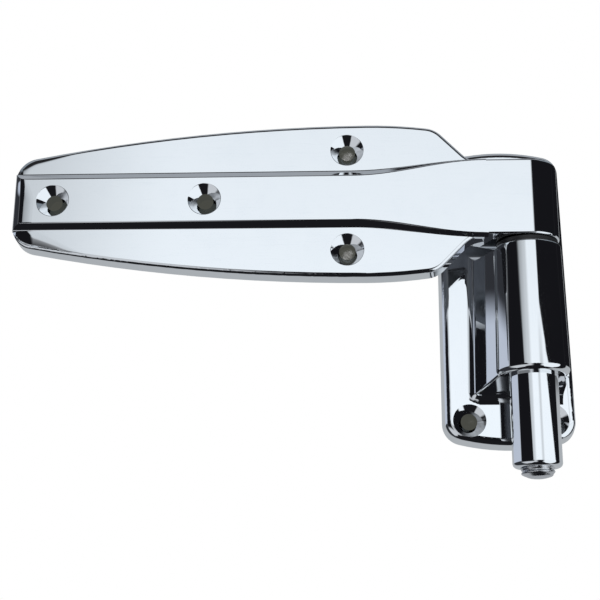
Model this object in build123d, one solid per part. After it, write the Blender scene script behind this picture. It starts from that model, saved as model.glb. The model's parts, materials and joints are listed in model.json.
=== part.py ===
from build123d import *
import math
import os

os.makedirs("parts", exist_ok=True)

# Cam-rise hinge, millimetres. X to the right, Y away from the viewer, Z up.
# The origin is the middle of the bracket's back, on the wall plane Y = 0.

# driving dimensions: bracket
plate_width = 56.6
plate_height = 134.5
plate_thick = 9.5
plate_crown = 4.4
plate_corner = 9.0
plate_draft = 7.0
plate_lean = 2.2
plate_rim = 3.0
foot_round = 4.5
boss_edge = 1.0
boss_run = 8.0
plate_hole_side = 11.05
plate_hole_end = 11.25
axis_x = 7.5
offset_back = 30.8
barrel_height = 54.8
barrel_radius = 13.9
barrel_flare = 1.0
barrel_sink = 13.6
seam = 2.5
axis_behind = 3.1

# driving dimensions: strap
strap_reach = 218.8
strap_width = 69.0
strap_thick = 8.2
strap_draft = 3.5
side_radius = 750.0
bend_radius = 190.0
rib_height = 2.2
rib_width = 19.8
rib_spread = 2.7
neck_spread = 0.3
cove_radius = 0.9
rib_end_run = 3.4
strap_rim = 1.6
edge_round = 0.8
field_roll = 4.0
rib_roll = 5.5
end_round = 10.5
shoulder_run = 13.8
shoulder_round = 11.0
waist_round = 12.0
knuckle_height = 33.2
near_holes = 75.7
near_holes_z = 44.6
mid_hole_shift = 2.3
far_hole_end = 18.1

# driving dimensions: works inside
spindle_radius = 5.0
thread_radius = 4.0
tube_radius = 9.95
tube_wall = 1.65
tube_drop = 37.6
stub_radius = 6.8
stub_drop = 4.3
stub_dome = 14.0
stub_round = 0.8
stub_flat = 0.6
cam_depth = 12.8
cam_lead = 38.0
cam_ramp = 150.0
swing = 110.0
screw_hole = 7.0
screw_sink = 14.0
sink_over = 1.0
sink_round = 0.35
post_wall = 1.5

# clearances
slip = 0.05
press = 0.02
running = 0.3
cam_gap = 0.2

# levels and places that follow
plate_holes_x = plate_width - 2 * plate_hole_side
plate_holes_z = plate_height - 2 * plate_hole_end
far_hole = strap_reach - far_hole_end
mid_hole = (near_holes + far_hole) / 2 - mid_hole_shift
barrel_top = barrel_height / 2 - barrel_sink
barrel_floor = barrel_top - barrel_height
knuckle_floor = barrel_top + seam
knuckle_top = knuckle_floor + knuckle_height
strap_z = (knuckle_floor + knuckle_top) / 2
axis_y = -offset_back + axis_behind
strap_back = -offset_back
field_y = strap_back - strap_thick
rib_y = field_y - rib_height
knuckle_radius = axis_y - rib_y
half_knuckle = knuckle_height / 2
barrel_foot = barrel_radius + barrel_flare
cam_rise = cam_lead * cam_ramp / 360
lift_travel = cam_lead * swing / 360
strap_end = axis_x - strap_reach


def column(radius, low, high):
    body = Cylinder(radius, high - low, align=(Align.CENTER, Align.CENTER, Align.MIN))
    return Pos(axis_x, axis_y, low) * body


def ring(inner, outer, low, high):
    return column(outer, low, high) - column(inner, low - 1, high + 1)


def front_face(points, depth):
    return Plane.XZ.offset(depth) * points


def screw_cut(x, z, face, back):
    # clearance hole, countersink and the screwdriver's way to it, along Y from the front face
    bottom = (Align.CENTER, Align.CENTER, Align.MIN)
    hole = Cylinder(screw_hole / 2, back - face + 2, align=bottom)
    deep = (screw_sink - screw_hole) / 2
    wide = screw_sink / 2 + sink_over
    sink = Cone(screw_hole / 2, wide, deep + sink_over, align=bottom)
    way = Cylinder(wide, offset_back, align=bottom)
    cut = Pos(x, back + 1, z) * Rot(90, 0, 0) * hole
    cut = cut + Pos(x, face + deep, z) * Rot(90, 0, 0) * sink
    return cut + Pos(x, face - sink_over, z) * Rot(90, 0, 0) * way


def screw_post():
    # the metal that stays round a screw hole in a cored back
    return Cylinder(screw_sink / 2 + post_wall, offset_back, align=(Align.CENTER, Align.CENTER, Align.MIN))


def lugs(inner, outer, wide, low, high, turn):
    bar = Box(2 * outer, wide, high - low, align=(Align.CENTER, Align.CENTER, Align.MIN))
    bar = Pos(axis_x, axis_y, low) * Rot(0, 0, turn) * bar
    return bar & ring(inner, outer, low, high)


def ramp_tool(inner, outer, low, turn, sweep_angle, depth):
    # the space over (depth > 0) or under (depth < 0) one helical cam ramp
    middle = (inner + outer) / 2
    path = Helix(cam_lead, cam_lead * sweep_angle / 360, middle)
    wide = outer - inner
    shape = Plane.XZ * Pos(middle, depth / 2) * Rectangle(wide, abs(depth))
    body = sweep(shape, path=path, is_frenet=True)
    return Pos(axis_x, axis_y, low) * Rot(0, 0, turn) * body


def sector(radius, low, high, start, span):
    end = math.radians(span)
    face = make_face(
        [
            Line((0, 0), (radius, 0)),
            CenterArc((0, 0), radius, 0, span),
            Line((radius * math.cos(end), radius * math.sin(end)), (0, 0)),
        ]
    )
    return Pos(axis_x, axis_y, low) * Rot(0, 0, start) * extrude(face, high - low)


# jamb bracket: drafted plate, wedge boss and barrel in one casting
half_w = plate_width / 2
half_h = plate_height / 2
side_z = half_h - plate_crown
plate_face = make_face(
    [
        ThreePointArc((-half_w, side_z), (0, half_h), (half_w - plate_lean, side_z)),
        Line((half_w - plate_lean, side_z), (half_w, -side_z)),
        ThreePointArc((half_w, -side_z), (0, -half_h), (-half_w, -side_z)),
        Line((-half_w, -side_z), (-half_w, side_z)),
    ]
)
plate_face = fillet(plate_face.vertices(), plate_corner)
plate = extrude(front_face(plate_face, 0), plate_thick, taper=plate_draft)
rim = plate.faces().sort_by(Axis.Y)[0].edges()
plate = fillet(rim, plate_rim)

plate_y = -plate_thick
boss_inset = plate_thick * 0.5
boss_left = axis_x - barrel_foot - boss_run
lean_here = plate_lean * (barrel_top + side_z) / (2 * side_z)
plate_edge = half_w - lean_here - plate_thick * math.tan(math.radians(plate_draft)) - plate_rim
boss_right = min(axis_x + barrel_foot - 0.3, plate_edge - 0.4)
boss_slope = 4.8
boss_floor = barrel_floor - boss_slope - 3
boss_plan = make_face(
    Polyline(
        (boss_left, plate_y + boss_inset),
        (boss_left, plate_y),
        (axis_x - barrel_foot + 0.35, axis_y),
        (boss_right, axis_y),
        (boss_right, plate_y + boss_inset),
        close=True,
    )
)
boss = extrude(Plane.XY.offset(boss_floor) * boss_plan, barrel_top - boss_floor, taper=0.8)
slope_side = make_face(
    Polyline(
        (axis_y - 2 * barrel_foot, barrel_floor),
        (axis_y, barrel_floor),
        (plate_y, barrel_floor - boss_slope),
        (plate_y + boss_inset + 1, barrel_floor - boss_slope * 1.3),
        (plate_y + boss_inset + 1, boss_floor - 5),
        (axis_y - 2 * barrel_foot, boss_floor - 5),
        close=True,
    )
)
boss = boss - extrude(Plane.YZ.offset(-plate_width) * slope_side, 2 * plate_width)
boss_low = [e for e in boss.edges() if e.center().X < axis_x - barrel_foot + 2]
boss_low = [e for e in boss_low if e.center().Z < barrel_floor]
boss_low = [e for e in boss_low if plate_y - 1 > e.center().Y > axis_y + 1]
boss = fillet(boss_low, boss_edge)
barrel = Pos(axis_x, axis_y, barrel_floor) * Cone(
    barrel_foot, barrel_radius, barrel_height, align=(Align.CENTER, Align.CENTER, Align.MIN)
)
barrel = fillet(barrel.edges().group_by(Axis.Z)[0], 2.3)
barrel = fillet(barrel.edges().group_by(Axis.Z)[-1], 0.6)
bracket = plate + boss
boss_foot = [e for e in bracket.edges() if abs(e.center().Y - plate_y) < 0.05]
boss_foot = [e for e in boss_foot if boss_left - 0.5 < e.center().X < axis_x]
boss_foot = [e for e in boss_foot if abs(e.center().Z) < side_z - 6]
bracket = fillet(boss_foot, foot_round) + barrel

# bores of the barrel: cam seat and bush above a web, spring tube below it
cam_seat = barrel_radius - 2.45
web_top = barrel_top - cam_depth
web_thick = 4.0
web_floor = web_top - web_thick
bush_flange = 2.0
spigot_floor = web_top + bush_flange
bush_radius = spindle_radius + 2.0
lug_reach = cam_seat + 0.95
lug_wide = 4.0
cam_lug_floor = barrel_top - 5.0
bracket = bracket - column(cam_seat, web_top, barrel_top + 1)
bracket = bracket - column(bush_radius + press, web_floor - 1, web_top + 1)
bracket = bracket - column(tube_radius + slip, barrel_floor - 12, web_floor)
cam_keys = lugs(0.5, lug_reach + slip, lug_wide + 2 * slip, cam_lug_floor - slip, barrel_top + 1, 90)
bracket = bracket - cam_keys

# cored back: a shallow pan in the plate and a deeper core behind the barrel
pan_wall = 4.0
pan_depth = plate_thick - 4.5
pan_face = offset(plate_face, amount=-pan_wall)
pan = extrude(front_face(pan_face, -1), pan_depth + 1)
for sx in (-1, 1):
    for sz in (-1, 1):
        post = Pos(sx * plate_holes_x / 2, 1, sz * plate_holes_z / 2) * Rot(90, 0, 0)
        pan = pan - post * screw_post()
core_deep = -(axis_y + tube_radius + 5.2)
core_face = make_face(
    Polyline(
        (boss_left + 5.5, barrel_floor + 3.5),
        (boss_right - 5.0, barrel_floor + 3.5),
        (boss_right - 5.0, barrel_top - 4.5),
        (boss_left + 5.5, barrel_top - 4.5),
        close=True,
    )
)
core_face = fillet(core_face.vertices(), 4.0)
core = extrude(front_face(core_face, -1), core_deep + 1, taper=4)
bracket = bracket - pan - core
for sx in (-1, 1):
    for sz in (-1, 1):
        bracket = bracket - screw_cut(sx * plate_holes_x / 2, sz * plate_holes_z / 2, plate_y, 0)

# lower cam: keyed in the barrel, two helical ramps standing up into the knuckle
pocket_radius = knuckle_radius - 3.0
cam_outer = pocket_radius - 0.35
cam_inner = spindle_radius + running
flange_thick = seam - 0.5
valley = knuckle_floor + 0.7
flange_top = barrel_top + flange_thick
lower_cam = column(cam_seat - slip, spigot_floor, barrel_top)
lower_cam = lower_cam + column(barrel_radius - 1.0, barrel_top, flange_top)
lower_cam = lower_cam + column(cam_outer, flange_top, valley + cam_rise)
lower_cam = lower_cam + lugs(cam_seat - 2, lug_reach, lug_wide, cam_lug_floor, barrel_top, 90)
for turn in (0, 180):
    lower_cam = lower_cam - ramp_tool(2.0, cam_outer + 2, valley, turn, cam_ramp, cam_rise + 2)
    gap_start = turn + cam_ramp
    gap_span = 180.4 - cam_ramp
    lower_cam = lower_cam - sector(cam_outer + 4, valley, valley + cam_rise + 4, gap_start, gap_span)
lower_cam = lower_cam - column(cam_inner, spigot_floor - 1, valley + cam_rise + 5)

# upper cam: the matching ramps, keyed in the knuckle
cam_base = 5.4
cam_ceiling = valley + cam_gap + cam_rise + cam_base
key_reach = pocket_radius + 1.3
key_wide = 5.0
key_floor = cam_ceiling - cam_base + 0.6
upper_cam = column(pocket_radius - slip, valley + cam_gap, cam_ceiling)
for turn in (0, 180):
    tool = ramp_tool(2.0, pocket_radius + 3, valley + cam_gap, turn, cam_ramp + 1.5, -(cam_rise + 3))
    upper_cam = upper_cam - tool
upper_cam = upper_cam + lugs(pocket_radius - 2, key_reach, key_wide, key_floor, cam_ceiling, 90)
upper_cam = upper_cam - column(spindle_radius + press, valley - 5, cam_ceiling + 1)

# guide bush in the barrel web
guide_bush = column(bush_radius, web_floor, web_top) + column(cam_seat - slip, web_top, spigot_floor)
guide_bush = guide_bush - column(spindle_radius + slip, web_floor - 1, spigot_floor + 1)

# spring tube and the threaded plug that closes it
tube_floor = barrel_floor - tube_drop
tube_end = 4.0
tube_inner = tube_radius - tube_wall
spring_tube = column(tube_radius, tube_floor, web_floor)
spring_tube = fillet(spring_tube.edges().group_by(Axis.Z)[0], 1.9)
spring_tube = spring_tube - column(tube_inner, tube_floor + tube_end, web_floor + 1)
spring_tube = spring_tube - column(stub_radius + press, tube_floor - 1, tube_floor + tube_end + 1)

stub_floor = tube_floor - stub_drop
plug_top = tube_floor + tube_end
dome_rise = stub_radius**2 / (2 * stub_dome)
dome_mid = (stub_flat + stub_radius) / 2
dome_mid_rise = dome_mid**2 / (2 * stub_dome)
plug_side = make_face(
    [
        Line((0, stub_floor), (stub_flat, stub_floor)),
        ThreePointArc(
            (stub_flat, stub_floor),
            (dome_mid, stub_floor + dome_mid_rise),
            (stub_radius, stub_floor + dome_rise),
        ),
        Line((stub_radius, stub_floor + dome_rise), (stub_radius, plug_top)),
        Line((stub_radius, plug_top), (0, plug_top)),
        Line((0, plug_top), (0, stub_floor)),
    ]
)
dome_rim = [v for v in plug_side.vertices() if v.X > stub_radius - 0.01 and v.Y < tube_floor]
plug_side = fillet(dome_rim, stub_round)
end_plug = Pos(axis_x, axis_y, 0) * revolve(Plane.XZ * plug_side, Axis.Z)

# spring and the pieces that carry it
seat_thick = 1.5
spring_top = web_floor - seat_thick
washer_thick = 2.0
disc_thick = 1.5
nut_thick = 6.0
jam_thick = 4.0
nut_flats = 13.0
thread_end = 0.8
stack = washer_thick + disc_thick + nut_thick + jam_thick + thread_end + running
spring_floor = tube_floor + tube_end + stack
spring_length = spring_top - spring_floor
spring_inner = spindle_radius + 0.4
spring_outer = tube_inner - 0.5
wire = 2.0
turns = 9.5
top_seat = ring(spindle_radius + running, tube_inner - 0.1, spring_top, web_floor)

coil_mid = (spring_inner + spring_outer) / 2
coil_path = Helix((spring_length - wire) / turns, spring_length - wire, coil_mid)
coil_shape = Plane.XZ * Pos(coil_mid, 0) * Rectangle(spring_outer - spring_inner, wire)
coil = sweep(coil_shape, path=coil_path, is_frenet=True)
spring = Pos(axis_x, axis_y, spring_floor + wire / 2) * coil
spring = spring + ring(spring_inner - 0.05, spring_outer + 0.05, spring_floor, spring_floor + wire)
spring = spring + ring(spring_inner - 0.05, spring_outer + 0.05, spring_top - wire, spring_top)

washer_floor = spring_floor - washer_thick
disc_floor = washer_floor - disc_thick
nut_floor = disc_floor - nut_thick
jam_floor = nut_floor - jam_thick
lift_washer = ring(thread_radius + 0.15, tube_inner - running, washer_floor, spring_floor)
thrust_disc = ring(thread_radius + press, spring_outer, disc_floor, washer_floor)


def hex_nut(low, high):
    shape = RegularPolygon(nut_flats / 2, 6, major_radius=False)
    body = Pos(axis_x, axis_y, low) * extrude(shape, high - low)
    corner = nut_flats / 2 / math.cos(math.pi / 6)
    bevel = (corner - nut_flats / 2) * 0.6
    turned = column(corner, low, high)
    turned = chamfer(turned.edges().group_by(Axis.Z)[0] + turned.edges().group_by(Axis.Z)[-1], bevel)
    return (body & turned) - column(thread_radius + press, low - 1, high + 1)


spindle_nut = hex_nut(nut_floor, disc_floor)
lock_nut = hex_nut(jam_floor, nut_floor)

# spindle: pinned in the knuckle, turned down and threaded at the foot
pin_radius = 2.0
socket_top = knuckle_top - 3.0
pin_z = (cam_ceiling + socket_top) / 2
step_z = spring_floor + 8.0
spindle_floor = jam_floor - thread_end
spindle = column(spindle_radius, step_z, socket_top - 0.2)
spindle = chamfer(spindle.edges().group_by(Axis.Z)[-1], 0.6)
spindle = spindle + column(thread_radius, spindle_floor, step_z)
spindle = chamfer(spindle.edges().group_by(Axis.Z)[0], 0.6)
pin_back = axis_y + knuckle_radius - 2.2
pin_front = rib_y + 3.5


def pin_column(radius, front, back):
    body = Cylinder(radius, back - front, align=(Align.CENTER, Align.CENTER, Align.MIN))
    return Pos(axis_x, back, pin_z) * Rot(90, 0, 0) * body


spindle = spindle - pin_column(pin_radius + press, pin_front - 1, pin_back + 1)
spindle_pin = pin_column(pin_radius, pin_front, pin_back)
pin_ends = spindle_pin.edges().group_by(Axis.Y)
spindle_pin = chamfer(pin_ends[0] + pin_ends[-1], 0.4)
spindle_pin = spindle_pin - pin_column(pin_radius - 0.8, pin_front - 1, pin_back + 1)
pin_slot = Box(0.8, pin_back - pin_front + 2, pin_radius * 2)
spindle_pin = spindle_pin - Pos(axis_x, (pin_back + pin_front) / 2, pin_z + pin_radius) * pin_slot

# door strap: drafted field, raised rib flaring into the neck, knuckle at the end
half_s = strap_width / 2
wide_x = axis_x - near_holes + 8.0
end_x = strap_end + 1.2
corner_x = axis_x - near_holes + 37.6
waist_x = corner_x + shoulder_run
waist_half = half_knuckle + 1.4
neck_x = waist_x + 7.0


draft_in = strap_thick * math.tan(math.radians(strap_draft))
tail_end = neck_x + draft_in


def strap_side(x, inset):
    # half width of the strap: two arcs that meet at the widest place
    radius = (side_radius if x < wide_x else bend_radius) - inset
    return half_s - inset - radius + math.sqrt(radius**2 - (x - wide_x) ** 2)


def strap_face(inset):
    # outline of the strap drawn inwards by the inset, seen from the front
    left = end_x + inset
    right = corner_x - inset * 0.4
    waist = waist_x - inset * 0.6
    mid = (left + wide_x) / 2
    bend = (right + wide_x) / 2
    low = waist_half - inset
    tail = half_knuckle - 0.4 - inset

    def side(sign):
        far = sign * strap_side(left, inset)
        near = sign * strap_side(right, inset)
        top = sign * (half_s - inset)
        return [
            ThreePointArc((left, far), (mid, sign * strap_side(mid, inset)), (wide_x, top)),
            ThreePointArc((wide_x, top), (bend, sign * strap_side(bend, inset)), (right, near)),
            Line((right, near), (waist, sign * low)),
            Line((waist, sign * low), (tail_end, sign * tail)),
        ]

    end_half = strap_side(left, inset)
    tip = ThreePointArc((left, -end_half), (strap_end + inset, 0), (left, end_half))
    shape = make_face(side(1) + side(-1) + [tip, Line((tail_end, tail), (tail_end, -tail))])
    shape = fillet(shape.vertices().group_by(Axis.X)[0], end_round - inset)
    shape = fillet([v for v in shape.vertices() if abs(v.X - right) < 0.01], shoulder_round - inset)
    shape = fillet([v for v in shape.vertices() if abs(v.X - waist) < 0.01], waist_round)
    return shape


strap_outline = strap_face(0)
field_back = front_face(strap_outline, -strap_back)
field_front = front_face(offset(strap_outline, amount=-draft_in), -field_y)
field = loft([field_back, field_front], ruled=True)
field_rim = [e for e in field.faces().sort_by(Axis.Y)[0].edges() if e.center().X < neck_x - 0.01]
field = Pos(0, 0, strap_z) * fillet(field_rim, strap_rim)


def rolled(front, left, round_end):
    # room under a face that rolls over towards the free end of the strap
    right = axis_x + strap_reach
    plan = make_face(
        [
            Line((left, strap_back + strap_thick), (right, strap_back + strap_thick)),
            Line((right, strap_back + strap_thick), (right, front)),
            Line((right, front), (left + round_end, front)),
            ThreePointArc(
                (left + round_end, front),
                (left + round_end * (1 - math.sqrt(0.5)), front + round_end * (1 - math.sqrt(0.5))),
                (left, front + round_end),
            ),
            Line((left, front + round_end), (left, strap_back + strap_thick)),
        ]
    )
    return extrude(Plane.XY.offset(strap_z - strap_width) * plan, 2 * strap_width)


field = field & rolled(field_y, strap_end, field_roll)


def rib_face(spread, left):
    # outline of the rib at one height: straight sides that flare into the neck
    half = rib_width / 2 + spread
    flare_x = axis_x - near_holes + 2.0
    wide = half_knuckle + spread * neck_spread
    shape = make_face(
        [
            Line((left, -half), (left, half)),
            Line((left, half), (flare_x, half)),
            Spline((flare_x, half), (neck_x, wide), tangents=((1, 0), (1, 0))),
            Line((neck_x, wide), (neck_x, -wide)),
            Spline((neck_x, -wide), (flare_x, -half), tangents=((-1, 0), (-1, 0))),
            Line((flare_x, -half), (left, -half)),
        ]
    )
    return Pos(0, strap_z) * shape


# the rib's wall leans back and runs out to the field in a hollow round
lean = math.atan2(rib_spread, rib_height)
cove_run = cove_radius * math.tan((math.pi / 2 - lean) / 2)
cove_mid = rib_spread + cove_run
rib_steps = [(cove_mid, -2.0)]
for part in (0.0, 0.34, 0.67, 1.0):
    turn = -math.pi / 2 - part * (math.pi / 2 - lean)
    rib_steps.append((cove_mid + cove_radius * math.cos(turn), cove_radius * (1 + math.sin(turn))))
rib_steps.append((0.0, rib_height))
rib_left = strap_end + 0.75
rib_levels = []
for spread, rise in rib_steps:
    left = rib_left + rib_end_run * max(rise, 0.0) / rib_height
    rib_levels.append(front_face(rib_face(spread, left), -field_y + rise))
rib = loft(rib_levels, ruled=True)
crest = [e for e in rib.faces().sort_by(Axis.Y)[0].edges() if e.center().X < neck_x - 0.01]
rib = fillet(crest, edge_round)
rib = rib & rolled(rib_y, strap_end + 0.3, rib_roll)

# neck and knuckle drawn from above
tail_x = corner_x + 3.0
tail_angle = math.atan2(strap_back - axis_y, tail_x - axis_x)
tail_far = math.hypot(strap_back - axis_y, tail_x - axis_x)
touch = tail_angle % (2 * math.pi) - math.acos(knuckle_radius / tail_far)
touch_x = axis_x + knuckle_radius * math.cos(touch)
touch_y = axis_y + knuckle_radius * math.sin(touch)
neck_plan = make_face(
    [
        Line((neck_x, rib_y), (axis_x, rib_y)),
        ThreePointArc((axis_x, rib_y), (axis_x + knuckle_radius, axis_y), (touch_x, touch_y)),
        Line((touch_x, touch_y), (tail_x, strap_back)),
        Line((tail_x, strap_back), (tail_x, field_y + 2)),
        Line((tail_x, field_y + 2), (neck_x, field_y + 2)),
        Line((neck_x, field_y + 2), (neck_x, rib_y)),
    ]
)
neck = extrude(Plane.XY.offset(knuckle_floor) * neck_plan, knuckle_height)
neck_rims = neck.edges().group_by(Axis.Z)[0] + neck.edges().group_by(Axis.Z)[-1]
neck_rims = [e for e in neck_rims if e.center().X > tail_x + 0.5 and abs(e.center().Y - field_y - 2) > 0.5]
neck_rims = [e for e in neck_rims if abs(e.center().X - neck_x) > 0.01]
neck = fillet(neck_rims, edge_round)
strap = field + rib + neck

# cored back of the strap with bosses left round the screw holes
skin = 3.2
core_wall = 3.4
pan_outline = Pos(0, strap_z) * strap_face(core_wall)
back_pan = extrude(front_face(pan_outline, -strap_back - 1), strap_thick - skin + 1)
pan_right = (Align.MAX, Align.CENTER, Align.CENTER)
pan_room = Box(2 * strap_reach, 4 * strap_thick, 2 * strap_width, align=pan_right)
back_pan = back_pan & (Pos(tail_x - 3.0, strap_back, strap_z) * pan_room)
rib_core_left = strap_end + 5.0
rib_core_right = tail_x - 6.0
rib_core = Rectangle(rib_core_right - rib_core_left, rib_width - 5.0)
rib_core = front_face(Pos((rib_core_left + rib_core_right) / 2, strap_z) * rib_core, -strap_back - 1)
back_rib = extrude(rib_core, strap_thick + rib_height - skin + 1)
screws = (
    (axis_x - far_hole, 0, rib_y),
    (axis_x - mid_hole, 0, rib_y),
    (axis_x - near_holes, near_holes_z / 2, field_y),
    (axis_x - near_holes, -near_holes_z / 2, field_y),
)
hollow = back_pan + back_rib
for x, z, face in screws:
    post = Pos(x, strap_back + 2, strap_z + z) * Rot(90, 0, 0)
    hollow = hollow - post * screw_post()
strap = strap - hollow
for x, z, face in screws:
    strap = strap - screw_cut(x, strap_z + z, face, strap_back)
sink_rims = [e for e in strap.edges().filter_by(GeomType.CIRCLE) if abs(e.radius - screw_sink / 2) < 0.01]
strap = fillet([e for e in sink_rims if e.arc_center.Y < field_y + 0.01], sink_round)

# knuckle bores
strap = strap - column(pocket_radius, knuckle_floor - 1, cam_ceiling)
strap = strap - lugs(0.5, key_reach + slip, key_wide + 2 * slip, knuckle_floor - 1, cam_ceiling, 90)
strap = strap - column(spindle_radius + press, cam_ceiling - 1, socket_top)
strap = strap - pin_column(pin_radius + press, pin_front - 0.3, pin_back + knuckle_radius)

nodes = {
    "jamb_bracket": bracket,
    "door_strap": strap,
    "lower_cam": lower_cam,
    "upper_cam": upper_cam,
    "guide_bush": guide_bush,
    "spring_tube": spring_tube,
    "end_plug": end_plug,
    "top_seat": top_seat,
    "spring": spring,
    "lift_washer": lift_washer,
    "thrust_disc": thrust_disc,
    "spindle_nut": spindle_nut,
    "lock_nut": lock_nut,
    "spindle": spindle,
    "spindle_pin": spindle_pin,
}
for name, body in nodes.items():
    solids = body.solids()
    print(name, len(solids), round(body.volume, 1), body.is_valid)
    export_step(solids[0] if len(solids) == 1 else body, "parts/" + name + ".step")
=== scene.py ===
import json
import math
import bmesh
import bpy
from mathutils import Matrix, Vector


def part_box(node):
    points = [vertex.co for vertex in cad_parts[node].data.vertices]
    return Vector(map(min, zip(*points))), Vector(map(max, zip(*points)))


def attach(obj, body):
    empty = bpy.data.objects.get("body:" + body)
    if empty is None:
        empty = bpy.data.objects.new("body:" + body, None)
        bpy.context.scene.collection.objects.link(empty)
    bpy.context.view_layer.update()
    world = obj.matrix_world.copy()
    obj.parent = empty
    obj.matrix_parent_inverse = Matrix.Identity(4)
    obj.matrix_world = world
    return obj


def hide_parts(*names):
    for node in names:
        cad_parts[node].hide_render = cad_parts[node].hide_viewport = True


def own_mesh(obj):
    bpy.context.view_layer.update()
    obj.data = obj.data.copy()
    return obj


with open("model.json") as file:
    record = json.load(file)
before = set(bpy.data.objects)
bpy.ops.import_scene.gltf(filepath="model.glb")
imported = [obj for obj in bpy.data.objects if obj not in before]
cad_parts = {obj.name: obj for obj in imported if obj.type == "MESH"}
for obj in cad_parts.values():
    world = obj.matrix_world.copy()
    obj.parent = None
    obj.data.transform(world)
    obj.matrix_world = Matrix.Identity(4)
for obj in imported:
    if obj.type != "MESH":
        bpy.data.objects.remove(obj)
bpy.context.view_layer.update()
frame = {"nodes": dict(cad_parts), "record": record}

scene = bpy.context.scene
scene.view_settings.view_transform = "Standard"
nodes = frame["nodes"]
print("frame loaded:", len(nodes), "nodes")

mm = 0.001
degrees = 180 / math.pi
fullTurn = 2 * math.pi

# hinge axis, taken from the spring tube that stands on it
tubeLow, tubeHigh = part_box("spring_tube")
axisX = (tubeLow.x + tubeHigh.x) / 2
axisY = (tubeLow.y + tubeHigh.y) / 2


# small helpers for node trees
def feed(tree, socket, value):
    if isinstance(value, bpy.types.NodeSocket):
        tree.links.new(value, socket)
    else:
        socket.default_value = value


def calc(tree, operation, *values):
    node = tree.nodes.new("ShaderNodeMath")
    node.operation = operation
    for socket, value in zip(node.inputs, values):
        feed(tree, socket, value)
    return node.outputs[0]


def times(tree, first, second):
    return calc(tree, "MULTIPLY", first, second)


def minus(tree, first, second):
    return calc(tree, "SUBTRACT", first, second)


def ramp(tree, value, low, high, outLow=0.0, outHigh=1.0, soft=True):
    node = tree.nodes.new("ShaderNodeMapRange")
    node.interpolation_type = "SMOOTHSTEP" if soft else "LINEAR"
    for name, number in zip(("Value", "From Min", "From Max", "To Min", "To Max"),
                            (value, low, high, outLow, outHigh)):
        feed(tree, node.inputs[name], number)
    return node.outputs[0]


def blendColour(tree, mask, first, second):
    node = tree.nodes.new("ShaderNodeMix")
    node.data_type = "RGBA"
    feed(tree, node.inputs[0], mask)
    feed(tree, node.inputs[6], first)      # the node's sockets 6, 7 and 2 are its colours
    feed(tree, node.inputs[7], second)
    return node.outputs[2]


def noise(tree, place, scale, detail=2.0, rough=0.5):
    node = tree.nodes.new("ShaderNodeTexNoise")
    feed(tree, node.inputs["Vector"], place)
    feed(tree, node.inputs["Scale"], scale)
    feed(tree, node.inputs["Detail"], detail)
    feed(tree, node.inputs["Roughness"], rough)
    return node.outputs["Fac"]


def splitVector(tree, vector):
    node = tree.nodes.new("ShaderNodeSeparateXYZ")
    feed(tree, node.inputs[0], vector)
    return node.outputs


# shared effects, each a group with its own inputs
def newGroup(name, inputs, outputs):
    # inputs have their starting values, and a triple makes a vector socket
    tree = bpy.data.node_groups.new(name, "ShaderNodeTree")
    for label, value in inputs.items():
        kind = "NodeSocketVector" if isinstance(value, tuple) else "NodeSocketFloat"
        socket = tree.interface.new_socket(label, in_out="INPUT", socket_type=kind)
        socket.default_value = value
    for label in outputs:
        tree.interface.new_socket(label, in_out="OUTPUT", socket_type="NodeSocketFloat")
    given = tree.nodes.new("NodeGroupInput").outputs
    out = tree.nodes.new("NodeGroupOutput").inputs
    return tree, given, out


def makeCastRipple():
    # slow waves that polishing leaves on a casting, as height
    inputs = {"Place": (0.0, 0.0, 0.0), "Wave": 55.0, "Height": 1.0}
    tree, given, out = newGroup("castRipple", inputs, ["Height"])
    slow = noise(tree, given["Place"], given["Wave"], detail=1.0, rough=0.4)
    feed(tree, out["Height"], times(tree, slow, given["Height"]))
    return tree


polishLook = {
    "lineScale": 1500.0,
    "lineRange": (0.52, 0.78),
    "lineShare": 0.45,
    "hazeRange": (0.42, 0.75),
    "hazeShare": 0.55,
}


def makePolishMarks():
    # faint haze and hairline marks: a mask from 0, clear, to 1, dulled
    inputs = {"Place": (0.0, 0.0, 0.0), "Along": (1.0, 1.0, 1.0), "Haze": 90.0}
    tree, given, out = newGroup("polishMarks", inputs, ["Mask"])
    stretch = tree.nodes.new("ShaderNodeVectorMath")
    stretch.operation = "MULTIPLY"
    feed(tree, stretch.inputs[0], given["Place"])
    feed(tree, stretch.inputs[1], given["Along"])
    lines = noise(tree, stretch.outputs[0], polishLook["lineScale"])
    lines = times(tree, ramp(tree, lines, *polishLook["lineRange"]), polishLook["lineShare"])
    haze = noise(tree, given["Place"], given["Haze"], detail=4.0)
    haze = times(tree, ramp(tree, haze, *polishLook["hazeRange"]), polishLook["hazeShare"])
    feed(tree, out["Mask"], calc(tree, "ADD", lines, haze))
    return tree


# faces that look to the back get the raw skin and painted shade
skinFacing = (0.35, 0.6)   # how far a face has to look back, from polished to raw


def makeCastSkinAndShade():
    # unpolished skin of a casting: mask of the faces that look to the back, which also carries painted
    # shade, and its grain
    inputs = {"Place": (0.0, 0.0, 0.0), "Grain": 1400.0, "Cloud": 160.0}
    tree, given, out = newGroup("castSkinAndShade", inputs, ["Mask", "Height", "Shade"])
    toBack = splitVector(tree, tree.nodes.new("ShaderNodeTexCoord").outputs["Normal"])["Y"]
    mask = ramp(tree, toBack, *skinFacing)
    grain = noise(tree, given["Place"], given["Grain"], detail=3.0, rough=0.6)
    feed(tree, out["Mask"], mask)
    feed(tree, out["Height"], times(tree, grain, mask))
    feed(tree, out["Shade"], noise(tree, given["Place"], given["Cloud"], detail=3.0))
    return tree


rollShares = {
    "far": 0.18,             # of the reach, that is left along the sides
    "top": 0.5,              # of the half width, where the upper side's own reach holds
    "down": (-0.4, -0.15),   # faces that look down more than this keep their straight sides
}


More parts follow.
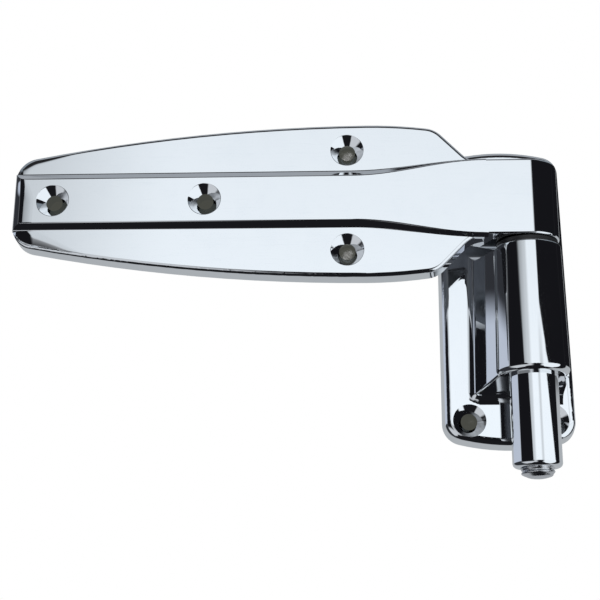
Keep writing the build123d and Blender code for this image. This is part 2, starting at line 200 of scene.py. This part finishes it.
def makeRimRoll():
    # how far buffing has rolled off a long tapered face near its outline, as height in metres
    inputs = {
        "Place": (0.0, 0.0, 0.0),
        "End": 0.0,
        "Wide": 0.0,
        "Middle": 0.0,
        "Half": 0.03,
        "Bow": 0.75,
        "Corner": 0.01,
        "Reach": 0.007,
        "Fade": 0.04,
        "Top": 0.5,
        "Slope": 0.2,
    }
    tree, given, out = newGroup("rimRoll", inputs, ["Height"])
    spot = splitVector(tree, given["Place"])
    # distance inside the outline: straight end, bowed sides, round corners
    fromEnd = minus(tree, spot["X"], given["End"])
    along = minus(tree, spot["X"], given["Wide"])
    bow = calc(tree, "DIVIDE", times(tree, along, along), times(tree, given["Bow"], 2.0))
    above = minus(tree, spot["Z"], given["Middle"])
    fromSide = minus(tree, minus(tree, given["Half"], bow), calc(tree, "ABSOLUTE", above))
    endPart = calc(tree, "MAXIMUM", minus(tree, given["Corner"], fromEnd), 0.0)
    sidePart = calc(tree, "MAXIMUM", minus(tree, given["Corner"], fromSide), 0.0)
    squares = calc(tree, "ADD", times(tree, endPart, endPart), times(tree, sidePart, sidePart))
    inside = minus(tree, given["Corner"], calc(tree, "SQRT", squares))
    # the roll reaches furthest at the end, and less on the upper side
    farReach = times(tree, given["Reach"], rollShares["far"])
    reach = ramp(tree, fromEnd, 0.0, given["Fade"], given["Reach"], farReach)
    topStart = times(tree, given["Half"], rollShares["top"])
    reach = times(tree, reach, ramp(tree, above, 0.0, topStart, 1.0, given["Top"]))
    # a parabola that starts level where the roll begins
    left = minus(tree, 1.0, ramp(tree, inside, 0.0, reach, soft=False))
    drop = times(tree, times(tree, left, left), times(tree, reach, -0.5))
    upward = splitVector(tree, tree.nodes.new("ShaderNodeTexCoord").outputs["Normal"])["Z"]
    slope = times(tree, given["Slope"], ramp(tree, upward, *rollShares["down"]))
    feed(tree, out["Height"], times(tree, drop, slope))
    return tree


def makeGrain():
    # fine even grain for moulded, sintered and plated pieces
    inputs = {"Place": (0.0, 0.0, 0.0), "Size": 900.0, "Broad": 0.08}
    tree, given, out = newGroup("fineGrain", inputs, ["Fine", "Broad"])
    broadSize = times(tree, given["Size"], given["Broad"])
    feed(tree, out["Fine"], noise(tree, given["Place"], given["Size"], detail=3.0, rough=0.6))
    feed(tree, out["Broad"], noise(tree, given["Place"], broadSize, detail=3.0))
    return tree


castRipple = makeCastRipple()
polishMarks = makePolishMarks()
castSkinAndShade = makeCastSkinAndShade()
rimRoll = makeRimRoll()
fineGrain = makeGrain()
print("shared effects made:", len(bpy.data.node_groups))


def place(tree, group, **values):
    node = tree.nodes.new("ShaderNodeGroup")
    node.node_tree = group
    for label, value in values.items():
        feed(tree, node.inputs[label], value)
    return node.outputs


def startMaterial(name):
    material = bpy.data.materials.new(name)
    material.use_nodes = True
    tree = material.node_tree
    shader = tree.nodes["Principled BSDF"]
    where = tree.nodes.new("ShaderNodeTexCoord").outputs["Object"]
    return material, tree, shader, where


def addBump(tree, shader, height, distance, strength=1.0):
    bump = tree.nodes.new("ShaderNodeBump")
    feed(tree, bump.inputs["Height"], height)
    bump.inputs["Distance"].default_value = distance
    bump.inputs["Strength"].default_value = strength
    tree.links.new(bump.outputs["Normal"], shader.inputs["Normal"])


chromeLook = {
    "clear": (0.875, 0.895, 0.915, 1.0),   # plated and buffed
    "hazed": (0.845, 0.870, 0.895, 1.0),
    # the raw skin is painted darker than the casting is, as shade on the faces that look to the back
    "skin": (0.30, 0.305, 0.315, 1.0),     # plated over the raw casting
    "skinDark": (0.19, 0.195, 0.205, 1.0),
    "gloss": (0.025, 0.075),
    "skinGloss": 0.38,
    "skinHeight": 3.0,                     # of the bump step, as ripple is
    "bumpStep": 0.01 * mm,
}


def makeChrome(name, along, wave, ripple, rim=None):
    material, tree, shader, where = startMaterial(name)
    shader.inputs["Metallic"].default_value = 1.0
    marks = place(tree, polishMarks, Place=where, Along=along)["Mask"]
    skin = place(tree, castSkinAndShade, Place=where)
    polished = blendColour(tree, marks, chromeLook["clear"], chromeLook["hazed"])
    # raw skin colour, darkened as painted shade on the faces that look to the back
    rawAndShaded = blendColour(tree, skin["Shade"], chromeLook["skin"], chromeLook["skinDark"])
    tree.links.new(blendColour(tree, skin["Mask"], polished, rawAndShaded), shader.inputs["Base Color"])
    gloss = ramp(tree, marks, 0.0, 1.0, *chromeLook["gloss"], soft=False)
    rough = calc(tree, "ADD", gloss, times(tree, skin["Mask"], chromeLook["skinGloss"]))
    tree.links.new(rough, shader.inputs["Roughness"])
    waves = place(tree, castRipple, Place=where, Wave=wave, Height=ripple)["Height"]
    height = calc(tree, "ADD", waves, times(tree, skin["Height"], chromeLook["skinHeight"]))
    if rim:
        roll = place(tree, rimRoll, Place=where, **rim)["Height"]
        height = calc(tree, "ADD", height, times(tree, roll, 1 / chromeLook["bumpStep"]))
    addBump(tree, shader, height, chromeLook["bumpStep"])
    return material


grainBump = {"distance": 0.02 * mm, "strength": 0.6}
grainRange = (0.25, 0.75)   # of the fine grain, from the glossiest to the dullest


def makeSteel(name, colour, dark, gloss, grain, metallic=1.0):
    material, tree, shader, where = startMaterial(name)
    shader.inputs["Metallic"].default_value = metallic
    tone = place(tree, fineGrain, Place=where, Size=grain)
    tree.links.new(blendColour(tree, tone["Broad"], colour, dark), shader.inputs["Base Color"])
    tree.links.new(ramp(tree, tone["Fine"], *grainRange, *gloss), shader.inputs["Roughness"])
    addBump(tree, shader, tone["Fine"], **grainBump)
    return material


# outline of the strap's face, and how far it is rolled off
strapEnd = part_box("door_strap")[0].x
endReach = 20.0 * mm
endHeights = [spot.co.z for spot in nodes["door_strap"].data.vertices if spot.co.x < strapEnd + endReach]
strapRim = {
    "End": strapEnd,
    "Middle": (min(endHeights) + max(endHeights)) / 2,
    "Wide": axisX - 67.7 * mm,
    "Half": 34.5 * mm,
    "Bow": 750.0 * mm,
    "Corner": 10.5 * mm,
    "Reach": 11.5 * mm,
    "Fade": 40.0 * mm,
    "Top": 0.36,
    "Slope": 0.34,
}

# hairlines run along a piece, so its own axis has the small number
chromes = {
    "chromeStrap": {"along": (0.05, 1.0, 1.0), "wave": 42.0, "ripple": 0.9, "rim": strapRim},
    "chromeBracket": {"along": (1.0, 1.0, 0.05), "wave": 55.0, "ripple": 1.0},
    "chromeTube": {"along": (1.0, 1.0, 0.04), "wave": 60.0, "ripple": 0.7},
}
steels = {
    "plugSteel": {
        "colour": (0.78, 0.79, 0.81, 1.0),
        "dark": (0.68, 0.69, 0.71, 1.0),
        "gloss": (0.18, 0.27),
        "grain": 1500.0,
    },
    "zincSteel": {
        "colour": (0.66, 0.67, 0.68, 1.0),
        "dark": (0.52, 0.54, 0.57, 1.0),
        "gloss": (0.22, 0.38),
        "grain": 1200.0,
    },
    "brightSteel": {
        "colour": (0.60, 0.60, 0.61, 1.0),
        "dark": (0.50, 0.50, 0.51, 1.0),
        "gloss": (0.14, 0.26),
        "grain": 1800.0,
    },
    "springSteel": {
        "colour": (0.20, 0.20, 0.21, 1.0),
        "dark": (0.11, 0.11, 0.12, 1.0),
        "gloss": (0.25, 0.42),
        "grain": 900.0,
    },
    "sinteredBronze": {
        "colour": (0.55, 0.36, 0.19, 1.0),
        "dark": (0.40, 0.25, 0.12, 1.0),
        "gloss": (0.30, 0.50),
        "grain": 2200.0,
    },
    "blackNylon": {
        "colour": (0.022, 0.022, 0.024, 1.0),
        "dark": (0.014, 0.014, 0.016, 1.0),
        "gloss": (0.34, 0.50),
        "grain": 1600.0,
        "metallic": 0.0,
    },
    "whiteAcetal": {
        "colour": (0.80, 0.79, 0.75, 1.0),
        "dark": (0.72, 0.71, 0.67, 1.0),
        "gloss": (0.30, 0.42),
        "grain": 1400.0,
        "metallic": 0.0,
    },
}
coats = {name: makeChrome(name, **look) for name, look in chromes.items()}
coats.update({name: makeSteel(name, **look) for name, look in steels.items()})
print("materials made:", len(coats))

finishes = {
    "door_strap": "chromeStrap",
    "jamb_bracket": "chromeBracket",
    "spring_tube": "chromeTube",
    "lower_cam": "blackNylon",
    "upper_cam": "blackNylon",
    "guide_bush": "sinteredBronze",
    "top_seat": "zincSteel",
    "lift_washer": "zincSteel",
    "thrust_disc": "whiteAcetal",
    "spindle_nut": "zincSteel",
    "lock_nut": "zincSteel",
    "spindle": "brightSteel",
    "spindle_pin": "brightSteel",
    "spring": "springSteel",
    "end_plug": "plugSteel",
}
for name, finish in finishes.items():
    mesh = nodes[name].data
    mesh.materials.clear()
    mesh.materials.append(coats[finish])
print("finishes set:", len(finishes))


# threaded plug at the foot of the tube
plugLow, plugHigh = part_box("end_plug")
plugInset = 0.01 * mm        # keeps the drawn plug inside the solid one
plugSizes = {
    "Radius": (plugHigh.x - plugLow.x) / 2 - 2 * plugInset,
    "Depth": 0.45 * mm,
    "Pitch": 1.9 * mm,
    "Floor": plugLow.z + plugInset,
    "Length": plugHigh.z - plugLow.z - 2 * plugInset,
    "Dome": 2.4 * mm,
}
plugGrid = {
    "Vertices X": 121,       # round the plug
    "Vertices Y": 90,        # from the foot's middle to the top's
    "footShare": 0.22,       # of the grid, that makes the domed foot
    "topShare": 0.96,        # from here on the grid closes the top
    "flank": (0.04, 0.46),   # from groove to crest, in half pitches
    "fade": 0.35,            # of the dome, over which the thread runs out
    "merge": 0.002 * mm,
}


def makeThreadTree():
    tree = bpy.data.node_groups.new("threadedPlug", "GeometryNodeTree")
    tree.interface.new_socket("Geometry", in_out="OUTPUT", socket_type="NodeSocketGeometry")
    for label in plugSizes:
        tree.interface.new_socket(label, in_out="INPUT", socket_type="NodeSocketFloat")
    tree.interface.new_socket("Steel", in_out="INPUT", socket_type="NodeSocketMaterial")
    given = tree.nodes.new("NodeGroupInput").outputs
    out = tree.nodes.new("NodeGroupOutput").inputs
    grid = tree.nodes.new("GeometryNodeMeshGrid")
    for label in ("Size X", "Size Y"):
        grid.inputs[label].default_value = 1.0
    for label in ("Vertices X", "Vertices Y"):
        grid.inputs[label].default_value = plugGrid[label]
    spot = splitVector(tree, tree.nodes.new("GeometryNodeInputPosition").outputs[0])
    around = times(tree, calc(tree, "ADD", spot["X"], 0.5), fullTurn)
    along = calc(tree, "ADD", spot["Y"], 0.5)          # 0 at the foot, 1 at the top
    # the first and last shares of the grid close the two ends, the rest is the threaded side
    footShare = plugGrid["footShare"]
    topShare = plugGrid["topShare"]
    foot = ramp(tree, along, 0.0, footShare, 0.0, 1.0, soft=False)
    top = ramp(tree, along, topShare, 1.0, 1.0, 0.0, soft=False)
    rise = ramp(tree, along, footShare, topShare, 0.0, 1.0, soft=False)
    # domed foot: a quarter turn from the axis out to the side
    quarter = times(tree, foot, fullTurn / 4)
    domeReach = calc(tree, "SINE", quarter)
    domeHeight = times(tree, minus(tree, 1.0, calc(tree, "COSINE", quarter)), given["Dome"])
    side = times(tree, rise, minus(tree, given["Length"], given["Dome"]))
    height = calc(tree, "ADD", domeHeight, side)
    # thread: a soft vee that follows height and turn together
    pitches = calc(tree, "DIVIDE", height, given["Pitch"])
    turns = minus(tree, pitches, calc(tree, "DIVIDE", around, fullTurn))
    vee = calc(tree, "ABSOLUTE", minus(tree, calc(tree, "FRACT", turns), 0.5))
    vee = ramp(tree, vee, *plugGrid["flank"])
    fade = ramp(tree, height, 0.0, times(tree, given["Dome"], plugGrid["fade"]))
    cut = times(tree, times(tree, vee, fade), given["Depth"])
    reach = times(tree, times(tree, domeReach, top), given["Radius"])
    reach = minus(tree, reach, times(tree, cut, top))
    outX = times(tree, reach, calc(tree, "COSINE", around))
    outY = times(tree, reach, calc(tree, "SINE", around))
    point = tree.nodes.new("ShaderNodeCombineXYZ")
    feed(tree, point.inputs["X"], calc(tree, "ADD", outX, axisX))
    feed(tree, point.inputs["Y"], calc(tree, "ADD", outY, axisY))
    feed(tree, point.inputs["Z"], calc(tree, "ADD", height, given["Floor"]))
    shape = tree.nodes.new("GeometryNodeSetPosition")
    feed(tree, shape.inputs["Geometry"], grid.outputs["Mesh"])
    feed(tree, shape.inputs["Position"], point.outputs[0])
    merge = tree.nodes.new("GeometryNodeMergeByDistance")
    feed(tree, merge.inputs["Geometry"], shape.outputs[0])
    merge.inputs["Distance"].default_value = plugGrid["merge"]
    smooth = tree.nodes.new("GeometryNodeSetShadeSmooth")
    feed(tree, smooth.inputs["Geometry"], merge.outputs[0])
    solid = tree.nodes.new("GeometryNodeRealizeInstances")
    feed(tree, solid.inputs[0], smooth.outputs[0])
    paint = tree.nodes.new("GeometryNodeSetMaterial")
    feed(tree, paint.inputs["Geometry"], solid.outputs[0])
    feed(tree, paint.inputs["Material"], given["Steel"])
    feed(tree, out["Geometry"], paint.outputs[0])
    return tree


def growPiece(name, tree, values):
    # runs a tree on an empty mesh and keeps the plain mesh it gives
    seed = bpy.data.objects.new(name + "Seed", bpy.data.meshes.new(name + "Seed"))
    scene.collection.objects.link(seed)
    modifier = seed.modifiers.new("shape", "NODES")
    modifier.node_group = tree
    for item in tree.interface.items_tree:
        if item.in_out == "INPUT" and item.name in values:
            modifier[item.identifier] = values[item.name]
    ready = seed.evaluated_get(bpy.context.evaluated_depsgraph_get())
    mesh = bpy.data.meshes.new_from_object(ready)
    mesh.name = name
    bpy.data.objects.remove(seed)
    piece = bpy.data.objects.new(name, mesh)
    scene.collection.objects.link(piece)
    return piece


threadedPlug = growPiece("threadedPlug", makeThreadTree(), {**plugSizes, "Steel": coats["plugSteel"]})
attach(threadedPlug, "bracket")
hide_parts("end_plug")
print("plug threaded:", len(threadedPlug.data.polygons), "faces")


# the spring, a merged copy that moves with the lifter
springFit = {
    "travel": 11.62 * mm,    # the lift at full swing
    "merge": 0.001 * mm,
}


def makeSpring():
    mesh = nodes["spring"].data.copy()
    mesh.name = "coilSpring"
    shape = bmesh.new()
    shape.from_mesh(mesh)
    bmesh.ops.remove_doubles(shape, verts=shape.verts, dist=springFit["merge"])
    bmesh.ops.recalc_face_normals(shape, faces=shape.faces)
    shape.to_mesh(mesh)
    shape.free()
    piece = bpy.data.objects.new("coilSpring", mesh)
    scene.collection.objects.link(piece)
    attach(piece, "lifter")
    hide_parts("spring")
    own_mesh(piece)
    return piece


coilSpring = makeSpring()
print("spring ready:", len(coilSpring.data.polygons), "faces")


# the studio that the chrome shows: a white wall in front, dark flags at the sides, grey behind
studioTones = {
    "white": (0.925, 0.98, 1.03, 1.0),
    "grey": (0.445, 0.465, 0.485, 1.0),
    "flag": (0.008, 0.008, 0.010, 1.0),
    "dusk": (0.030, 0.032, 0.038, 1.0),
    "sky": (0.52, 0.57, 0.67, 1.0),
    "ceiling": (0.38, 0.40, 0.43, 1.0),
    "backUp": (0.225, 0.260, 0.295, 1.0),
    "hood": (0.018, 0.018, 0.020, 1.0),
    "under": (0.010, 0.010, 0.012, 1.0),
    "paper": (0.60, 0.62, 0.65, 1.0),
    "fill": (0.85, 0.86, 0.88, 1.0),         # what matt surfaces see
    "backdrop": (1.0, 1.0, 1.0, 1.0),        # what the camera sees
}
# in degrees: turn runs from straight in front to the right, tilt from level upwards
# three numbers are from, to and softness, and four take one range to another
studioZones = {
    "edge": 1.6,
    "softEdge": 6.0,
    "crispTilt": (4.0, 17.0, 2.0),           # the wall's left edge is soft outside this
    "horizonTilt": (3.0, 7.0),
    "wallRight": (8.0, 18.0, 84.0, 21.0),    # tilt to turn
    "wallLeft": (8.0, 22.0, -25.0, -42.0),
    "wallGain": (12.0, 27.0, 1.05, 0.93),    # tilt to brightness
    "wallDip": (-19.5, -9.0, 0.66, 1.0),     # turn to brightness
    "wallDusk": (-42.0, -22.0, 0.5, 1.0),
    "seamTurn": (14.0, 24.0, 4.0),
    "seamTilt": (6.0, 16.5, 1.5),
    "seamShare": 0.55,
    "leftTurn": (-145.0, -86.0, 6.0),
    "leftSkyTilt": (1.5, 16.6, 1.0),
    "leftFlagTurn": -86.0,
    "leftFlagTilt": (-20.0, -8.0),
    "rightFlagTurn": 111.0,
    "rightFlagTilt": (-60.0, -50.0),
    "rightTurn": (108.0, 158.0, 4.0),
    "rightTilt": (11.0, 13.0),
    "paperLeftTurn": (-84.0, -2.0),
    "paperRightTurn": (10.0, 84.0),
    "tableTurn": (-9.0, 21.0, 7.0),
    "roofTilt": (27.0, 34.0),
    "ceilingTilt": (45.0, 65.0),
    "hoodTurn": (-60.0, 60.0, 8.0),
    "hoodTilt": (30.0, 70.0, 3.0),
    "under": (22.0, 48.0, -40.0, -57.0),     # turn to either side, to tilt
    "underSoft": 3.0,
}


def edgeMask(tree, value, start, soft):
    return ramp(tree, calc(tree, "DIVIDE", minus(tree, value, start), soft), -1.0, 1.0)


def bandMask(tree, value, low, high, soft):
    rise = edgeMask(tree, value, low, soft)
    fall = edgeMask(tree, high, value, soft)
    return times(tree, rise, fall)


def layZone(tree, colour, tone, across, upwards):
    # puts a tone where a mask of turn and a mask of tilt meet
    return blendColour(tree, times(tree, across, upwards), colour, tone)


def makeStudio():
    world = bpy.data.worlds.new("studio")
    scene.world = world
    world.use_nodes = True
    tree = world.node_tree
    tree.nodes.clear()
    tones = studioTones
    zones = studioZones
    edge = zones["edge"]
    x, y, z = splitVector(tree, tree.nodes.new("ShaderNodeTexCoord").outputs["Generated"])
    turn = times(tree, calc(tree, "ARCTAN2", x, times(tree, y, -1.0)), degrees)
    tilt = times(tree, calc(tree, "ARCSINE", z), degrees)
    rightEdge = ramp(tree, tilt, *zones["wallRight"], soft=False)
    leftEdge = ramp(tree, tilt, *zones["wallLeft"], soft=False)
    crisp = bandMask(tree, tilt, *zones["crispTilt"])
    leftSoft = ramp(tree, crisp, 0.0, 1.0, zones["softEdge"], edge, soft=False)
    upper = ramp(tree, tilt, *zones["horizonTilt"])
    below = minus(tree, 1.0, upper)

    # grey all round, with dusk and a strip of sky at the left
    leftSky = blendColour(tree, bandMask(tree, tilt, *zones["leftSkyTilt"]), tones["dusk"], tones["sky"])
    colour = blendColour(tree, bandMask(tree, turn, *zones["leftTurn"]), tones["grey"], leftSky)

    # below the horizon: pale paper to both sides of a dark table edge
    paperLeft = bandMask(tree, turn, *zones["paperLeftTurn"], edge)
    colour = layZone(tree, colour, tones["paper"], paperLeft, below)
    paperRight = bandMask(tree, turn, *zones["paperRightTurn"], edge)
    colour = layZone(tree, colour, tones["white"], paperRight, below)
    tableEdge = bandMask(tree, turn, *zones["tableTurn"])
    colour = layZone(tree, colour, tones["flag"], tableEdge, below)

    # dark flags to both sides of the wall, and further round at the right
    flagEdge = calc(tree, "ADD", leftEdge, times(tree, leftSoft, 0.5))
    leftFlag = bandMask(tree, turn, zones["leftFlagTurn"], flagEdge, leftSoft)
    colour = layZone(tree, colour, tones["flag"], leftFlag, ramp(tree, tilt, *zones["leftFlagTilt"]))
    rightFlag = bandMask(tree, turn, rightEdge, zones["rightFlagTurn"], edge)
    colour = layZone(tree, colour, tones["flag"], rightFlag, ramp(tree, tilt, *zones["rightFlagTilt"]))
    rightSide = bandMask(tree, turn, *zones["rightTurn"])
    colour = layZone(tree, colour, tones["flag"], rightSide, ramp(tree, tilt, *zones["rightTilt"]))

    # the white wall fades a little upwards, and towards its left
    gain = ramp(tree, tilt, *zones["wallGain"], soft=False)
    dip = times(tree, ramp(tree, turn, *zones["wallDip"]), ramp(tree, turn, *zones["wallDusk"], soft=False))
    lit = tree.nodes.new("ShaderNodeVectorMath")
    lit.operation = "SCALE"
    lit.inputs[0].default_value = tones["white"][:3]
    feed(tree, lit.inputs["Scale"], times(tree, gain, dip))
    wallLeft = edgeMask(tree, turn, leftEdge, leftSoft)
    wallRight = edgeMask(tree, rightEdge, turn, edge)
    colour = layZone(tree, colour, lit.outputs[0], times(tree, wallLeft, wallRight), upper)
    # a seam in the wall's sheets
    seam = times(tree, bandMask(tree, turn, *zones["seamTurn"]), bandMask(tree, tilt, *zones["seamTilt"]))
    colour = layZone(tree, colour, tones["grey"], seam, zones["seamShare"])

    # overhead: a dark hood in front, a paler ceiling above and behind; far below it is dark
    roof = blendColour(tree, ramp(tree, tilt, *zones["ceilingTilt"]), tones["backUp"], tones["ceiling"])
    hoodAcross = bandMask(tree, turn, *zones["hoodTurn"])
    roof = layZone(tree, roof, tones["hood"], hoodAcross, bandMask(tree, tilt, *zones["hoodTilt"]))
    colour = blendColour(tree, ramp(tree, tilt, *zones["roofTilt"]), colour, roof)
    underEdge = ramp(tree, calc(tree, "ABSOLUTE", turn), *zones["under"])
    under = ramp(tree, minus(tree, tilt, underEdge), zones["underSoft"], -zones["underSoft"])
    colour = blendColour(tree, under, colour, tones["under"])

    path = tree.nodes.new("ShaderNodeLightPath")
    colour = blendColour(tree, path.outputs["Is Diffuse Ray"], colour, tones["fill"])
    colour = blendColour(tree, path.outputs["Is Camera Ray"], colour, tones["backdrop"])
    light = tree.nodes.new("ShaderNodeBackground")
    feed(tree, light.inputs["Color"], colour)
    feed(tree, tree.nodes.new("ShaderNodeOutputWorld").inputs["Surface"], light.outputs[0])


makeStudio()

floorLook = {
    "level": -0.24,
    "half": 4.0,
    "pale": (0.90, 0.90, 0.90, 1.0),
    "paleDark": (0.87, 0.87, 0.88, 1.0),
    "cloud": 40.0,
    "rough": 0.9,
}


def makeFloor():
    half = floorLook["half"]
    level = floorLook["level"]
    mesh = bpy.data.meshes.new("floor")
    corners = [(-half, -half, level), (half, -half, level), (half, half, level), (-half, half, level)]
    mesh.from_pydata(corners, [], [(0, 1, 2, 3)])
    floor = bpy.data.objects.new("floor", mesh)
    scene.collection.objects.link(floor)
    material, tree, shader, where = startMaterial("paleFloor")
    shade = place(tree, fineGrain, Place=where, Size=floorLook["cloud"])["Broad"]
    tone = blendColour(tree, shade, floorLook["pale"], floorLook["paleDark"])
    tree.links.new(tone, shader.inputs["Base Color"])
    shader.inputs["Roughness"].default_value = floorLook["rough"]
    mesh.materials.append(material)
    floor.visible_glossy = False      # the chrome sees the studio, not the floor


makeFloor()

# small sheets close behind the screw holes: clear, but painted dark as shadow where the part shades them
shadeSheets = {
    "gap": 0.2 * mm,
    "radius": 4.3 * mm,
    "corners": 24,
    "reach": 50.0 * mm,      # how far the shading looks
    "open": (0.34, 0.46),    # share of open sky, from dark to clear
    # the colour of the painted shadow
    "dark": (0.066, 0.068, 0.058, 1.0),
}


def makeShadowSheetMaterial():
    material = bpy.data.materials.new("paintedShadowSheet")
    material.use_nodes = True
    tree = material.node_tree
    tree.nodes.remove(tree.nodes["Principled BSDF"])
    sky = tree.nodes.new("ShaderNodeAmbientOcclusion")
    sky.inputs["Distance"].default_value = shadeSheets["reach"]
    clear = ramp(tree, sky.outputs["AO"], *shadeSheets["open"])
    back = tree.nodes.new("ShaderNodeNewGeometry").outputs["Backfacing"]
    # a dark glow that paints the shadow where the part shades the sheet
    dark = tree.nodes.new("ShaderNodeEmission")
    dark.inputs["Color"].default_value = shadeSheets["dark"]
    mix = tree.nodes.new("ShaderNodeMixShader")
    feed(tree, mix.inputs[0], calc(tree, "MAXIMUM", clear, back))
    feed(tree, mix.inputs[1], dark.outputs[0])
    feed(tree, mix.inputs[2], tree.nodes.new("ShaderNodeBsdfTransparent").outputs[0])
    feed(tree, tree.nodes["Material Output"].inputs["Surface"], mix.outputs[0])
    return material


def screwHoles():
    # middle of each hole on its back face, from the frame's screw patterns
    holes = []
    for mount in frame["record"]["mounts"]:
        if mount["kind"] == "bolt_pattern":
            middle = Vector(mount["pos_m"])
            across = mount["dims"].get("spacing_x_mm", 0.0) * mm / 2
            up = mount["dims"].get("spacing_y_mm", 0.0) * mm / 2
            for x in sorted({-across, across}):
                for z in sorted({-up, up}):
                    holes.append(middle + Vector((x, 0.0, z)))
    return holes


def makeSheets():
    points = []
    faces = []
    corners = shadeSheets["corners"]
    radius = shadeSheets["radius"]
    for hole in screwHoles():
        faces.append(list(range(len(points), len(points) + corners)))
        for step in range(corners):
            angle = step * fullTurn / corners
            rim = Vector((radius * math.cos(angle), shadeSheets["gap"], radius * math.sin(angle)))
            points.append(hole + rim)
    mesh = bpy.data.meshes.new("shadeSheets")
    mesh.from_pydata(points, [], faces)
    mesh.materials.append(makeShadowSheetMaterial())
    sheets = bpy.data.objects.new("shadeSheets", mesh)
    scene.collection.objects.link(sheets)
    sheets.visible_diffuse = False
    sheets.visible_shadow = False


makeSheets()
print("floor and sheets ready")

# place in mm
cameraFit = {
    "place": (-62.54, -497.53, -145.47),
    "right": (0.9986, 0.0523, 0.00837),
    "down": (-0.00665, 0.2807, -0.95977),
    "forward": (-0.05255, 0.95837, 0.28065),
    "lens": 69.86,
    "sensor": 36.0,
    "clipStart": 0.01,
}


def makeCamera():
    data = bpy.data.cameras.new("camera")
    data.lens = cameraFit["lens"]
    data.sensor_width = cameraFit["sensor"]
    data.clip_start = cameraFit["clipStart"]
    camera = bpy.data.objects.new("camera", data)
    scene.collection.objects.link(camera)
    right, down, forward = (Vector(cameraFit[side]) for side in ("right", "down", "forward"))
    turn = Matrix((right, -down, -forward)).transposed()
    camera.matrix_world = Matrix.Translation(Vector(cameraFit["place"]) * mm) @ turn.to_4x4()
    scene.camera = camera


makeCamera()
print("studio and camera ready")
